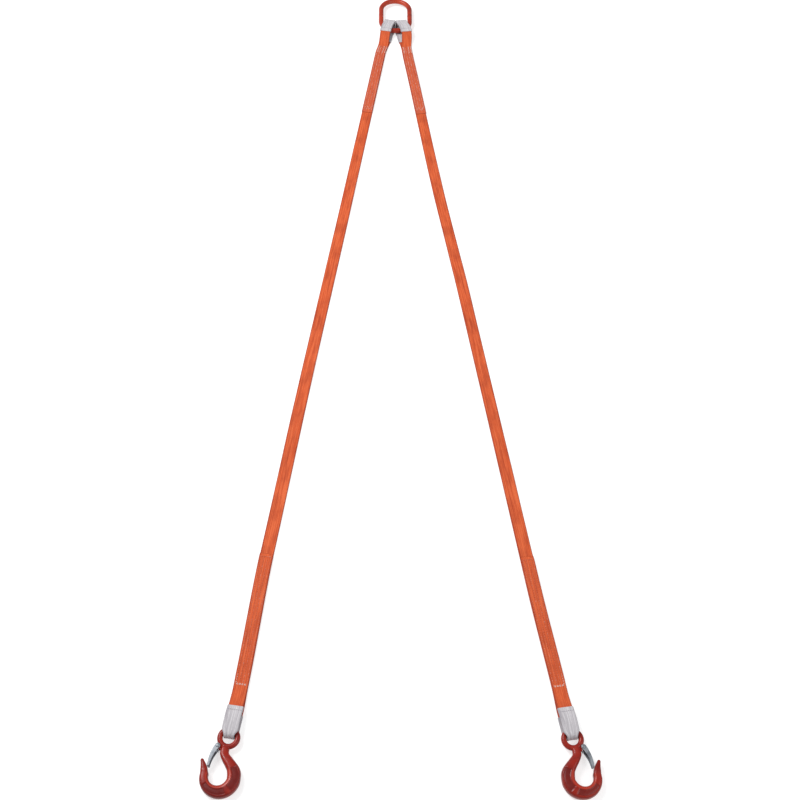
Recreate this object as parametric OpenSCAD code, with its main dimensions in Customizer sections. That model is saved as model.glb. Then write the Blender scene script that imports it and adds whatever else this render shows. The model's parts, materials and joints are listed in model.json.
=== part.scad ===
// Two-leg flat web sling, laid out on the floor: an oblong master link, two
// polyester webbing legs with a sewn eye at each end, and an eye hook with a
// sprung safety latch on each leg.
// Millimetres. +Z is up and the sling lies on z = 0. +Y points towards the
// master link, and the origin is at the middle of the footprint.

/* [Webbing legs] */
// Length of a leg, from bearing face to bearing face of its two eyes
leg_length = 1862; // [1000:1:3000]
// Angle of each leg off the sling's centre line, in degrees
leg_angle = 8.3; // [7:0.1:20]
// Width of the webbing
web_w = 25; // [24:0.5:26]
// Thickness of one ply of webbing
web_t = 3; // [2.5:0.1:3]
// Sewn overlap behind the master link eye
upper_splice = 246; // [120:1:300]
// Sewn overlap behind the hook eye
lower_splice = 258; // [120:1:300]

/* [Wear sleeves] */
// Outer width of a sleeve
sleeve_w = 27.5; // [27:0.1:28]
// Thickness of the sleeve cloth
sleeve_t = 0.9; // [0.6:0.1:0.9]
// Sleeve on the upper ply of a master link eye
upper_sleeve_front = 46; // [42:1:60]
// Sleeve on the lower ply of a master link eye
upper_sleeve_back = 70; // [42:1:72]
// Sleeve on the upper ply of a hook eye
lower_sleeve_front = 55; // [42:1:70]
// Sleeve on the lower ply of a hook eye
lower_sleeve_back = 42; // [30:1:70]

/* [Master link] */
// Diameter of the link's round bar
link_bar = 12; // [10:0.5:12]
// Inside width of the link
link_inner_w = 60; // [60:1:70]
// Inside length of the link
link_inner_l = 105; // [100:1:160]

/* [Hooks] */
// Thickness of the hook body across its faces
hook_t = 19.6; // [16:0.1:19.6]
// Diameter of the bar of the hook's eye
eye_bar = 9.3; // [8.5:0.1:9.3]
// Outward turn of a hook away from the centre line, in degrees
hook_turn = 13; // [5:0.5:20]
// Diameter of the latch's rivet
rivet_d = 4; // [3.6:0.1:4]

/* [Hidden] */
left = -1;
right = 1;
fine = 64;

// Webbing eyes, measured back from the outer face of the loop's end
sleeve_gap = 0.1;
ply_gap = 0.1;
skin = web_t / 2 + sleeve_gap + sleeve_t;       // ply centre to sleeve face
upper_reach = (link_bar + 1) / 2 + skin;        // bend radius at the link
lower_reach = (eye_bar + 0.7) / 2 + skin;       // bend radius in the hook
upper_flat = 40;
lower_flat = 24;
upper_flex = 86;
lower_flex = 87;
knuckle_gap = 0.3;
bight_web_w = 15.6;
bight_sleeve_w = 17.6;
taper_start = 4.5;
taper_end = 14.5;
bend_steps = 16;
slope_steps = 20;
drop_run = 9;
fold_y = -leg_length / 2;

// Sewing thread on the splices
thread_w = 0.8;
thread_h = 0.5;
row_gap = 6;
row_margin = 4;
bight_margin = 8;                               // behind the hook eye

// Master link
link_r = (link_inner_w + link_bar) / 2;
link_straight = link_inner_l - link_inner_w;
link_z = skin * 2 + 0.5 + link_bar / 2;
leg_x = 14.9;

// Hook, in its own plane: eye centre at the origin, bowl below, mouth to -X
eye_r = 14.5;
eye_back = 1;
hook_z = skin * 2 + 0.35 + eye_bar / 2;
bowl_in = [1.4, -64.4, 15.3];                   // centre and radius
bowl_out = [5.7, -65.7, 33.4];
hook_drop = -cos(hook_turn) * bowl_out[1] + sin(hook_turn) * bowl_out[0] + bowl_out[2];
link_y = (hook_drop + (leg_length - eye_back) * cos(leg_angle)
    - link_straight - link_r - link_bar / 2) / 2;
ring_sides = 20;
ring_power = 0.72;

// Each station across the neck and the point: inner x, y, outer x, y, thickness
neck_stations = [
    [-5.5, -12.5, 5.5, -12.5, 0.38],
    [-6.6, -18, 6.6, -18, 0.60],
    [-6.5, -27, 8.4, -25, 0.70],
    [-3.6, -33, 16, -31, 0.82],
    [1.6, -39.6, 24.5, -37.2, 0.92],
    [8.4, -47, 32, -43.8, 0.98],
    [13.6, -54, 36.8, -52.5, 1]
];
point_stations = [
    [-16.3, -59.8, -29, -60.5, 0.88],
    [-18.6, -55.2, -30, -56, 0.76],
    [-21.4, -51.2, -31.2, -52, 0.64],
    [-24.1, -48, -32.5, -48.4, 0.55],
    [-26.7, -45.3, -33.6, -45.6, 0.45],
    [-28.5, -43.2, -33.3, -43.4, 0.34],
    [-30, -42.2, -32.2, -42.3, 0.2]
];

// Latch, in the hook's plane
pivot = [-12.8, -17.6];
latch_tip = [-18.2, -52.6];
latch_bow = 2.6;
latch_root_w = 4.3;
latch_tip_w = 1.7;
latch_gap = 5.7;                                // half gap between the cheeks
latch_wall = 1.4;
rivet_clear = 0.06;
lug_t = 6.4;
lug_r = 4.2;
wire_r = 0.35;
coil_r = 3.1;
coil_turns = 2;
coil_pitch = 0.8;
coil_start = 3.65;                              // from the hook's mid plane

function ease(t) = t * t * (3 - 2 * t);
function mix(a, b, t) = a + (b - a) * t;

// Height of the upper and lower plies of an eye at a distance v from its end
function upper_z(v, reach, flat, end) =
    let (high = skin + 2 * reach)
    v <= flat ? high : mix(high, 1.5 * web_t + ply_gap, ease((v - flat) / (end - flat)));
function lower_z(v, drop) = mix(skin, web_t / 2, ease(max(0, min(1, (v - drop) / drop_run))));

// Centre line of a loop of webbing: back along the floor, round, and forward on top
function eye_path(reach, flat, end, drop, back, front) = concat(
    [for (i = [0 : slope_steps - 1])
        let (v = mix(back, reach + skin, i / slope_steps)) [v, lower_z(v, drop)]],
    [for (i = [0 : bend_steps])
        let (a = 270 - 180 * i / bend_steps)
        [reach + skin + reach * cos(a), reach + skin + reach * sin(a)]],
    [for (i = [1 : slope_steps])
        let (v = mix(reach + skin, front, i / slope_steps))
        [v, upper_z(v, reach, flat, end)]]
);

// A strip of even thickness on both sides of a centre line
function across(path, i) =
    let (a = path[max(i - 1, 0)], b = path[min(i + 1, len(path) - 1)], d = b - a)
    [-d[1], d[0]] / norm(d);
function strip(path, half) = concat(
    [for (i = [0 : len(path) - 1]) path[i] + half * across(path, i)],
    [for (i = [len(path) - 1 : -1 : 0]) path[i] - half * across(path, i)]
);

// Half the width of a hook eye's cloth at a distance v from its end
function taper(v, wide, narrow) =
    mix(narrow, wide, ease(max(0, min(1, (v - taper_start) / (taper_end - taper_start))))) / 2;

// Extrudes a side profile (along the leg, up) across the leg
module across_leg(width) {
    rotate([90, 0, 90])
        linear_extrude(height = width, center = true)
            children();
}

// Outline seen from above that narrows a hook eye's cloth towards its end
module narrowed(wide, narrow, length) {
    steps = 14;
    edge = concat(
        [[narrow / 2, -1]],
        [for (i = [0 : steps])
            let (v = mix(taper_start, taper_end, i / steps))
            [taper(v, wide, narrow), v]],
        [[wide / 2, length]]);
    last = len(edge) - 1;
    intersection() {
        children();
        translate([0, 0, -1])
            linear_extrude(height = 40)
                polygon(concat(edge, [for (i = [last : -1 : 0]) [-edge[i][0], edge[i][1]]]));
    }
}

module web_loop(reach, flat, end, back, width) {
    across_leg(width)
        polygon(strip(eye_path(reach, flat, end, back + 1, end, end), web_t / 2));
}

module sleeve_loop(reach, flat, end, back, front) {
    inner = web_t / 2 + sleeve_gap;
    color("gainsboro")
        difference() {
            across_leg(sleeve_w)
                polygon(strip(eye_path(reach, flat, end, back + 1, back, front), inner + sleeve_t));
            across_leg(web_w + 2 * sleeve_gap)
                polygon(strip(eye_path(reach, flat, end, back + 6, back + 5, front + 5), inner));
        }
}

module narrow_sleeve_loop(reach, flat, end, back, front) {
    inner = web_t / 2 + sleeve_gap;
    color("gainsboro")
        difference() {
            narrowed(sleeve_w, bight_sleeve_w, end)
                across_leg(sleeve_w + 2)
                    polygon(strip(eye_path(reach, flat, end, back + 1, back, front), inner + sleeve_t));
            narrowed(web_w + 2 * sleeve_gap, bight_web_w + 2 * sleeve_gap, end)
                across_leg(web_w + 2)
                    polygon(strip(eye_path(reach, flat, end, back + 6, back + 5, front + 5), inner));
        }
}

// Frame of one leg: its upper end at the origin, the leg running to -Y
module on_leg(side) {
    translate([side * leg_x, link_y, 0])
        rotate([0, 0, side * leg_angle])
            children();
}

// The same frame turned end for end, with the lower end at the origin
module on_lower_end(side) {
    on_leg(side)
        translate([0, -leg_length, 0])
            children();
}

// Frame of one hook, with its mouth on the outside of the sling
module on_hook(side) {
    on_lower_end(side)
        translate([0, eye_back, hook_z])
            rotate([0, 0, side * (hook_turn - leg_angle)])
                mirror([side > 0 ? 1 : 0, 0, 0])
                    children();
}

module upper_eye_web(side) {
    on_leg(side)
        color("orangered")
            mirror([0, 1, 0])
                web_loop(upper_reach, upper_flat, upper_flex - web_t - knuckle_gap,
                    upper_sleeve_back, web_w);
}

module upper_eye_sleeve(side) {
    on_leg(side)
        mirror([0, 1, 0])
            sleeve_loop(upper_reach, upper_flat, upper_flex - web_t - knuckle_gap,
                upper_sleeve_back, upper_sleeve_front);
}

module lower_eye_web(side) {
    on_lower_end(side)
        color("orangered")
            narrowed(web_w, bight_web_w, lower_flex)
                web_loop(lower_reach, lower_flat, lower_flex - web_t - knuckle_gap,
                    lower_sleeve_back, web_w + 2);
}

module lower_eye_sleeve(side) {
    on_lower_end(side)
        narrow_sleeve_loop(lower_reach, lower_flat, lower_flex - web_t - knuckle_gap,
            lower_sleeve_back, lower_sleeve_front);
}

// Round end of the ply below or above the seam between two sewn plies
function round_end(y, way, up) = [for (i = [0 : 8])
    let (a = 90 * i / 8) [y + way * web_t * cos(a), web_t + up * web_t * sin(a)]];
// Full round end of a single ply
function fold_end(y) = [for (i = [0 : 12])
    let (a = 90 - 180 * i / 12) [y - web_t / 2 * cos(a), web_t / 2 + web_t / 2 * sin(a)]];

module upper_leg_web(side) {
    on_leg(side)
        color("orangered")
            across_leg(web_w)
                polygon(concat(round_end(-upper_flex, 1, -1),
                    [for (i = [12 : -1 : 0]) fold_end(fold_y)[i]]));
}

module lower_leg_web(side) {
    start = -leg_length + lower_flex;
    stop = fold_y - web_t / 2 - knuckle_gap;
    on_leg(side)
        color("orangered")
            across_leg(web_w)
                polygon(concat(round_end(start, -1, -1), [[stop, 0], [stop, web_t]]));
}

module upper_splice_tail(side) {
    stop = -upper_flex - upper_splice;
    on_leg(side)
        color("orangered")
            across_leg(web_w)
                polygon(concat(round_end(-upper_flex, 1, 1), [[stop, 2 * web_t], [stop, web_t]]));
}

module lower_splice_tail(side) {
    start = -leg_length + lower_flex;
    stop = start + lower_splice;
    on_leg(side)
        color("orangered")
            across_leg(web_w)
                polygon(concat(round_end(start, -1, 1), [[stop, 2 * web_t], [stop, web_t]]));
}

// Four long rows of thread joined by a cross row at each end
module stitching(start, length) {
    color("bisque")
        translate([0, start + length / 2, 2 * web_t + thread_h / 2]) {
            for (row = [-1.5 : 1 : 1.5])
                translate([row * row_gap, 0, 0])
                    cube([thread_w, length, thread_h], center = true);
            for (way = [-1, 1])
                translate([0, way * (length - thread_w) / 2, 0])
                    cube([3 * row_gap + thread_w, thread_w, thread_h], center = true);
        }
}

module upper_splice_stitching(side) {
    on_leg(side)
        stitching(-upper_flex - upper_splice + row_margin, upper_splice - 2 * row_margin);
}

module lower_splice_stitching(side) {
    on_leg(side)
        stitching(-leg_length + lower_flex + bight_margin,
            lower_splice - bight_margin - row_margin);
}

module master_link() {
    color("firebrick")
        translate([0, link_y, link_z]) {
            for (way = [-1, 1])
                translate([way * link_r, 0, 0])
                    rotate([-90, 0, 0])
                        cylinder(d = link_bar, h = link_straight, $fn = fine);
            rotate([0, 0, 180])
                rotate_extrude(angle = 180, $fn = fine)
                    translate([link_r, 0])
                        circle(d = link_bar, $fn = fine);
            translate([0, link_straight, 0])
                rotate_extrude(angle = 180, $fn = fine)
                    translate([link_r, 0])
                        circle(d = link_bar, $fn = fine);
        }
}

// Smooth curve through the stations of the hook body
function spline(a, b, c, d, t) = 0.5 * (2 * b + (c - a) * t
    + (2 * a - 5 * b + 4 * c - d) * t * t + (3 * b - a - 3 * c + d) * t * t * t);
function smooth(list, steps) = [for (i = [0 : len(list) - 2], s = [0 : steps - 1])
    spline(list[max(i - 1, 0)], list[i], list[i + 1], list[min(i + 2, len(list) - 1)], s / steps)];
bowl_stations = [for (a = [0 : -15 : -180])
    [bowl_in[0] + bowl_in[2] * cos(a), bowl_in[1] + bowl_in[2] * sin(a),
     bowl_out[0] + bowl_out[2] * cos(a), bowl_out[1] + bowl_out[2] * sin(a), 1 + 0.06 * (cos(a) - 1)]];
hook_stations = concat(
    smooth(concat(neck_stations, bowl_stations, point_stations), 2),
    [point_stations[len(point_stations) - 1]]);

// One rounded section of the hook body, from its inner edge to its outer edge
function hook_section(s) = [for (i = [0 : ring_sides - 1])
    let (
        a = 360 * i / ring_sides,
        along = sign(cos(a)) * pow(abs(cos(a)), ring_power),
        up = sign(sin(a)) * pow(abs(sin(a)), ring_power),
        mid = [s[0] + s[2], s[1] + s[3]] / 2,
        half = [s[2] - s[0], s[3] - s[1]] / 2
    )
    [mid[0] + half[0] * along, mid[1] + half[1] * along, up * s[4] * hook_t / 2]];

module hook_body() {
    rings = len(hook_stations);
    n = ring_sides;
    points = [for (s = hook_stations) for (p = hook_section(s)) p];
    sides = [for (r = [0 : rings - 2], i = [0 : n - 1])
        [r * n + i, (r + 1) * n + i, (r + 1) * n + (i + 1) % n, r * n + (i + 1) % n]];
    start = [[for (i = [0 : n - 1]) i]];
    finish = [[for (i = [n - 1 : -1 : 0]) (rings - 1) * n + i]];
    polyhedron(points, concat(sides, start, finish), convexity = 6);
}

module hook(side) {
    on_hook(side)
        color("firebrick")
            difference() {
                union() {
                    rotate_extrude($fn = fine)
                        translate([eye_r, 0])
                            circle(d = eye_bar, $fn = fine);
                    hook_body();
                    linear_extrude(height = lug_t, center = true)
                        polygon(concat([for (a = [120 : 15 : 285]) pivot + lug_r * [cos(a), sin(a)]],
                            [[-5, -24], [-2, -20], [-7, -13.5]]));
                }
                translate([pivot[0], pivot[1], 0])
                    cylinder(d = rivet_d, h = lug_t + 4, center = true, $fn = fine);
            }
}

// Point on the latch's middle line and its half width, from the rivet to the tip
function latch_mid(t) =
    let (d = latch_tip - pivot, n = [d[1], -d[0]] / norm(d))
    pivot + d * t + n * latch_bow * 4 * t * (1 - t);
function latch_across(t) =
    let (d = latch_mid(t + 0.01) - latch_mid(t - 0.01))
    [d[1], -d[0]] / norm(d);
function latch_half(t) = mix(latch_root_w, latch_tip_w, t);

module latch(side) {
    steps = 12;
    outer = [for (i = [0 : steps])
        let (t = i / steps)
        latch_mid(t) + latch_half(t) * latch_across(t)];
    inner = [for (i = [steps : -1 : 0])
        let (t = i / steps)
        latch_mid(t) - latch_half(t) * latch_across(t)];
    roof = [for (i = [0 : steps]) let (t = mix(-0.1, 1.1, i / steps))
        latch_mid(t) + (latch_half(t) - latch_wall) * latch_across(t)];
    beyond = [for (i = [steps : -1 : 0]) let (t = mix(-0.1, 1.1, i / steps))
        latch_mid(t) - (latch_half(t) + 4) * latch_across(t)];
    on_hook(side)
        color("silver")
            difference() {
                union() {
                    linear_extrude(height = 2 * (latch_gap + latch_wall), center = true)
                        polygon(concat(outer, inner));
                    translate([pivot[0], pivot[1], 0])
                        cylinder(r = latch_root_w, h = 2 * (latch_gap + latch_wall),
                            center = true, $fn = fine);
                }
                linear_extrude(height = 2 * latch_gap, center = true)
                    polygon(concat(roof, beyond));
                translate([pivot[0], pivot[1], 0])
                    cylinder(r = lug_r + 0.9, h = 2 * latch_gap, center = true, $fn = fine);
                translate([pivot[0], pivot[1], 0])
                    cylinder(d = rivet_d + 2 * rivet_clear, h = 30, center = true, $fn = fine);
            }
}

module latch_rivet(side) {
    half = latch_gap + latch_wall;
    on_hook(side)
        color("lightgrey")
            translate([pivot[0], pivot[1], 0]) {
                cylinder(d = rivet_d, h = 2 * half + 1, center = true, $fn = fine);
                for (way = [-1, 1])
                    translate([0, 0, way * (half + 0.75)])
                        cylinder(d = rivet_d + 2.4, h = 0.9, center = true, $fn = fine);
            }
}

// Wire along a list of points, as an eight-sided tube
function wire_ring(path, i) =
    let (
        d = path[min(i + 1, len(path) - 1)] - path[max(i - 1, 0)],
        f = d / norm(d),
        c = cross(f, abs(f[2]) < 0.7 ? [0, 0, 1] : [1, 0, 0]),
        s = c / norm(c),
        u = cross(s, f)
    )
    [for (k = [0 : 7]) path[i] + wire_r * (cos(45 * k) * s + sin(45 * k) * u)];

module wire(path) {
    rings = len(path);
    points = [for (i = [0 : rings - 1]) for (p = wire_ring(path, i)) p];
    sides = [for (r = [0 : rings - 2], k = [0 : 7])
        [r * 8 + k, r * 8 + (k + 1) % 8, (r + 1) * 8 + (k + 1) % 8, (r + 1) * 8 + k]];
    start = [[for (k = [7 : -1 : 0]) k]];
    finish = [[for (k = [0 : 7]) (rings - 1) * 8 + k]];
    polyhedron(points, concat(sides, start, finish), convexity = 8);
}

// Torsion spring: a coil on each side of the lug, one leg on the hook and one in the latch
module latch_spring(side) {
    steps = 16;
    finish = coil_start + coil_pitch * coil_turns;
    on_hook(side)
        color("grey")
            for (way = [-1, 1])
                translate([pivot[0], pivot[1], 0])
                    wire(concat(
                        [[coil_r + 0.2, -9, way * coil_start]],
                        [for (i = [0 : steps * coil_turns])
                            let (a = i * 360 / steps)
                            [coil_r * cos(a), coil_r * sin(a),
                                way * (coil_start + coil_pitch * i / steps)]],
                        [[coil_r - 1, 4, way * finish]]));
}

master_link();
upper_eye_web(left);  // left_upper_eye_web
upper_eye_sleeve(left);  // left_upper_eye_sleeve
upper_leg_web(left);  // left_upper_leg_web
upper_splice_tail(left);  // left_upper_splice_tail
upper_splice_stitching(left);  // left_upper_splice_stitching
lower_leg_web(left);  // left_lower_leg_web
lower_splice_tail(left);  // left_lower_splice_tail
lower_splice_stitching(left);  // left_lower_splice_stitching
lower_eye_web(left);  // left_lower_eye_web
lower_eye_sleeve(left);  // left_lower_eye_sleeve
hook(left);  // left_hook
latch(left);  // left_latch
latch_rivet(left);  // left_latch_rivet
latch_spring(left);  // left_latch_spring
upper_eye_web(right);  // right_upper_eye_web
upper_eye_sleeve(right);  // right_upper_eye_sleeve
upper_leg_web(right);  // right_upper_leg_web
upper_splice_tail(right);  // right_upper_splice_tail
upper_splice_stitching(right);  // right_upper_splice_stitching
lower_leg_web(right);  // right_lower_leg_web
lower_splice_tail(right);  // right_lower_splice_tail
lower_splice_stitching(right);  // right_lower_splice_stitching
lower_eye_web(right);  // right_lower_eye_web
lower_eye_sleeve(right);  // right_lower_eye_sleeve
hook(right);  // right_hook
latch(right);  // right_latch
latch_rivet(right);  // right_latch_rivet
latch_spring(right);  // right_latch_spring
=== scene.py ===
import json
import math
import random

import bmesh
import bpy
import numpy as np
from mathutils import Matrix, Vector


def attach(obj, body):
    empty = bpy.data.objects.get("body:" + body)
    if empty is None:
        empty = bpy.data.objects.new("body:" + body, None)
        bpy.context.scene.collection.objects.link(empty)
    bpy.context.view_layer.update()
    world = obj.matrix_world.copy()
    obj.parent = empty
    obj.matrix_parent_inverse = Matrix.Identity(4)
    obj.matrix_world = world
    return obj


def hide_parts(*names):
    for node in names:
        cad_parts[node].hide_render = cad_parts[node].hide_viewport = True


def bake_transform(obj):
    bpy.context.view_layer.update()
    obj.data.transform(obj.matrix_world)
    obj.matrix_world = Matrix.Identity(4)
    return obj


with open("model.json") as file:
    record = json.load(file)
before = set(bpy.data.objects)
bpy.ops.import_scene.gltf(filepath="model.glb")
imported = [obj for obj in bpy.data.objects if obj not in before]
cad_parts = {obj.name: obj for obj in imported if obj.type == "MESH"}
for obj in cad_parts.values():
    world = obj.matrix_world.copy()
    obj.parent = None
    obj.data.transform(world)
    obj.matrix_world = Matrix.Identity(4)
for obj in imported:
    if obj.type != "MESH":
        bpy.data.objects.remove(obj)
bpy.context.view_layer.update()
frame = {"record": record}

random.seed(7)
MM = 0.001

# Real sizes in metres
LEG_LENGTH = 1862 * MM
UPPER_FLEX = 86 * MM
LOWER_FLEX = 87 * MM
UPPER_SPLICE = 246 * MM
LOWER_SPLICE = 258 * MM
FOLD = LEG_LENGTH / 2
WEB_W = 25 * MM
WEB_T = 3 * MM
SLEEVE_W = 27.5 * MM
SLEEVE_T = 0.9 * MM
SLEEVE_GAP = 0.1 * MM
SKIN = WEB_T / 2 + SLEEVE_GAP + SLEEVE_T
LINK_BAR = 12 * MM
LINK_R = 36 * MM
LINK_STRAIGHT = 45 * MM
# The hook's own sizes, in millimetres like the rest of its shape
HOOK_T = 19.6
EYE_BAR = 9.3
EYE_R = 14.5
HOOK_TURN = math.radians(13)
LEG_ANGLE = math.radians(8.3)
# The eyes seen from the side, as eye_line takes them
UPPER_EYE = dict(reach=(LINK_BAR + MM) / 2 + SKIN, flat=40 * MM, end=82.7 * MM, drop=71 * MM)
LOWER_EYE = dict(reach=(EYE_BAR + 0.7) * MM / 2 + SKIN, flat=24 * MM, end=83.7 * MM,
                 drop=43 * MM)
# How much of each sleeve lies on the upper ply and on the lower ply
UPPER_SLEEVE = (49 * MM, 70 * MM)
LOWER_SLEEVE = (55 * MM, 42 * MM)
# Width of webbing and sleeve where they are gathered in a hook's eye
WEB_NARROW = 15.8 * MM
SLEEVE_NARROW = 17.8 * MM
# The run goes on this far under each splice
OVERLAP = 30 * MM
# Zones down the leg about each hinge; the script finds points at their ends and does not use
# them.
UPPER_ZONE = (72 * MM, 105 * MM)
LOWER_ZONE = (LEG_LENGTH - UPPER_ZONE[1], LEG_LENGTH - UPPER_ZONE[0])
FOLD_REACH = 60 * MM
JOINTS = {j["name"]: j for j in frame["record"]["behaviour"]["joints"]}
# Distance down the leg in metres, and in millimetres how far across it the webbing lies
# there from the straight line, minus towards -X
DRIFT = {
    "left": [(0.052, 0), (0.12, -5.7), (0.60, -6.3), (1.15, -8.0), (1.50, -6.8), (1.80, 0)],
    "right": [(0.052, 0), (0.14, -2.3), (0.58, -5.8), (0.90, -2.5), (1.58, -2.8), (1.80, 0)],
}


# ---------------------------------------------------------------- camera
def add_camera():
    place = Vector((-0.0739, -1.5738, 1.9416))
    aim = Vector((0.0032, -0.2288, 0.0))
    roll = 0.0604
    forward = (aim - place).normalized()
    right = forward.cross(Vector((0, 0, 1))).normalized()
    up = right.cross(forward)
    right, up = (math.cos(roll) * right + math.sin(roll) * up,
                 math.cos(roll) * up - math.sin(roll) * right)
    data = bpy.data.cameras.new("camera")
    data.lens = 53.61
    data.sensor_width = 36
    data.clip_end = 60
    camera = bpy.data.objects.new("camera", data)
    bpy.context.scene.collection.objects.link(camera)
    turn = Matrix((right, up, -forward)).transposed().to_4x4()
    camera.matrix_world = Matrix.Translation(place) @ turn
    bpy.context.scene.camera = camera


add_camera()


# ---------------------------------------------------------------- helpers
def ease(t):
    t = np.clip(t, 0, 1)
    return t * t * (3 - 2 * t)


def mix(a, b, t):
    return a + (b - a) * t


def band(x, low, high, soft):
    """1 between low and high, 0 outside, with soft edges."""
    return ease((x - low) / soft + 0.5) * ease((high - x) / soft + 0.5)


def mesh_object(name, points, faces, uv=None, material=None, sharp=40):
    mesh = bpy.data.meshes.new(name)
    mesh.from_pydata([tuple(p) for p in points], [], faces)
    if uv is not None:
        layer = mesh.uv_layers.new(name="cloth")
        corner = np.empty(len(mesh.loops), np.int32)
        mesh.loops.foreach_get("vertex_index", corner)
        layer.data.foreach_set("uv", np.asarray(uv, np.float32)[corner].ravel())
    work = bmesh.new()
    work.from_mesh(mesh)
    bmesh.ops.recalc_face_normals(work, faces=work.faces)
    work.to_mesh(mesh)
    work.free()
    mesh.shade_smooth()
    mesh.set_sharp_from_angle(angle=math.radians(sharp))
    obj = bpy.data.objects.new(name, mesh)
    bpy.context.scene.collection.objects.link(obj)
    if material:
        mesh.materials.append(material)
    return obj


def set_values(obj, name, values):
    layer = obj.data.attributes.new(name, "FLOAT", "POINT")
    layer.data.foreach_set("value", np.asarray(values, np.float32))


def ring_faces(rings, around, first=0, closed=False):
    """Quads of a tube of rings; closed joins the last ring to the first."""
    faces = []
    for r in range(rings if closed else rings - 1):
        a = first + r * around
        b = first + ((r + 1) % rings) * around
        for k in range(around):
            n = (k + 1) % around
            faces.append((a + k, a + n, b + n, b + k))
    return faces


def tube_faces(rings, around, first=0):
    """A tube of rings with a flat cap at each end."""
    last = first + (rings - 1) * around
    return ring_faces(rings, around, first) + [
        tuple(range(first, first + around)),
        tuple(range(last + around - 1, last - 1, -1)),
    ]


def resample(path, step, measured=3):
    """Points at about even steps along a polyline, whose first columns are distances."""
    path = np.asarray(path, float)
    steps = np.diff(path[:, :measured], axis=0)
    gone = np.r_[0, np.cumsum(np.linalg.norm(steps, axis=1))]
    at = np.linspace(0, gone[-1], max(2, int(round(gone[-1] / step)) + 1))
    return np.stack([np.interp(at, gone, c) for c in path.T], 1), at


class Leg:
    """Frame of one leg: across, along from the upper end down, and up."""

    def __init__(self, side):
        self.side = side
        self.name = "left" if side < 0 else "right"
        top = np.array(JOINTS[self.name + "_upper_flex"]["pos_m"], float)
        low = np.array(JOINTS[self.name + "_lower_flex"]["pos_m"], float)
        down = (low - top) * (1, 1, 0)
        self.down = down / np.linalg.norm(down)
        self.across = np.array((-self.down[1], self.down[0], 0))
        self.start = top * (1, 1, 0) - UPPER_FLEX * self.down
        self.drift_at, self.drift_by = np.array(DRIFT[self.name]).T

    def drift(self, v):
        """Sideways wander of the leg as it lies, eased from station to station."""
        v = np.clip(np.asarray(v, float), self.drift_at[0], self.drift_at[-1])
        i = np.clip(np.searchsorted(self.drift_at, v) - 1, 0, len(self.drift_at) - 2)
        share = (v - self.drift_at[i]) / (self.drift_at[i + 1] - self.drift_at[i])
        return MM * mix(self.drift_by[i], self.drift_by[i + 1], ease(share))

    def point(self, x, v, z):
        x, v, z = (np.asarray(a, float) for a in (x, v, z))
        x = x + self.drift(v)
        flat = self.start + x[..., None] * self.across + v[..., None] * self.down
        return flat + z[..., None] * np.array((0, 0, 1.0))


LEGS = [Leg(-1), Leg(1)]


# ---------------------------------------------------------------- webbing shapes
def section(width, thick, ribs, depth, steps=6, edge=1.3 * MM):
    """Outline of a flat band with ribs on both faces and rounded edges: across, up."""
    flat = width / 2 - edge
    x = np.linspace(-flat, flat, ribs * steps + 1)
    groove = depth * (0.5 - 0.5 * np.cos(2 * np.pi * np.arange(len(x)) / steps))
    groove *= ease((flat - np.abs(x)) / (1.5 * edge))
    face = thick / 2 - groove
    turn = np.radians(np.linspace(76, -76, 7))
    side_x = flat + edge * np.cos(turn)
    side_z = thick / 2 * np.sin(turn)
    return np.r_[np.c_[x, face], np.c_[side_x, side_z],
                 np.c_[x[::-1], -face[::-1]], np.c_[-side_x[::-1], side_z[::-1]]]


def eye_line(reach, flat, end, drop, top_end, low_end, step=1.4 * MM):
    """Line of an eye seen from the side, from its upper ply round to its lower ply.

    The bend has the radius reach. The upper ply is level up to flat and meets the seam at
    end, and the lower ply comes down to the floor from drop on.
    Columns: distance from the eye's end, height, ply (1 upper, 0 lower)."""
    high = SKIN + 2 * reach
    seam = 1.5 * WEB_T
    d = np.linspace(top_end, reach + SKIN, int(top_end / MM))
    z = np.where(d <= flat, high, mix(high, seam, ease((d - flat) / (end - flat))))
    upper = np.c_[d, z, np.ones_like(d)]
    a = np.radians(np.linspace(90, 270, 25)[1:-1])
    bend = np.c_[reach + SKIN + reach * np.cos(a), reach + SKIN + reach * np.sin(a),
                 0.5 + 0.5 * np.sin(a)]
    d = np.linspace(reach + SKIN, low_end, int(low_end / MM))
    z = mix(SKIN, WEB_T / 2, ease((d - drop) / (9 * MM)))
    lower = np.c_[d, z, np.zeros_like(d)]
    return resample(np.r_[upper, bend, lower], step, measured=2)


def sweep_band(leg, line, outline, lower_end, shift=None, width=None, curl=None,
               swell=None, roll=None):
    """Rings of a band that follows a line seen from the side."""
    tangent = np.gradient(line[:, :2], axis=0)
    tangent /= np.linalg.norm(tangent, axis=1)[:, None]
    normal = np.c_[tangent[:, 1], -tangent[:, 0]]
    n = len(line)
    shift = np.zeros(n) if shift is None else shift
    width = np.ones(n) if width is None else width
    swell = np.zeros(n) if swell is None else swell
    rings = []
    half = np.abs(outline[:, 0]).max()
    for i in range(n):
        x = outline[:, 0] * width[i]
        away = outline[:, 1] + np.sign(outline[:, 1]) * swell[i]
        if curl is not None:
            away = away + curl[i] * (np.abs(outline[:, 0]) / half) ** 2.6
        d = line[i, 0] + away * normal[i, 0]
        z = line[i, 1] + away * normal[i, 1]
        if roll is not None:
            z = z + x * math.sin(roll[i]) + WEB_W / 2 * abs(math.sin(roll[i]))
        v = LEG_LENGTH - d if lower_end else d
        rings.append(leg.point(x + shift[i], v, np.maximum(z, 0)))
    return rings


def band_object(name, rings, outline, along, material):
    uv = np.array([(x, s) for s in along for x in outline[:, 0]])
    faces = tube_faces(len(rings), len(outline))
    return mesh_object(name, np.concatenate(rings), faces, uv, material, sharp=50)


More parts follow.
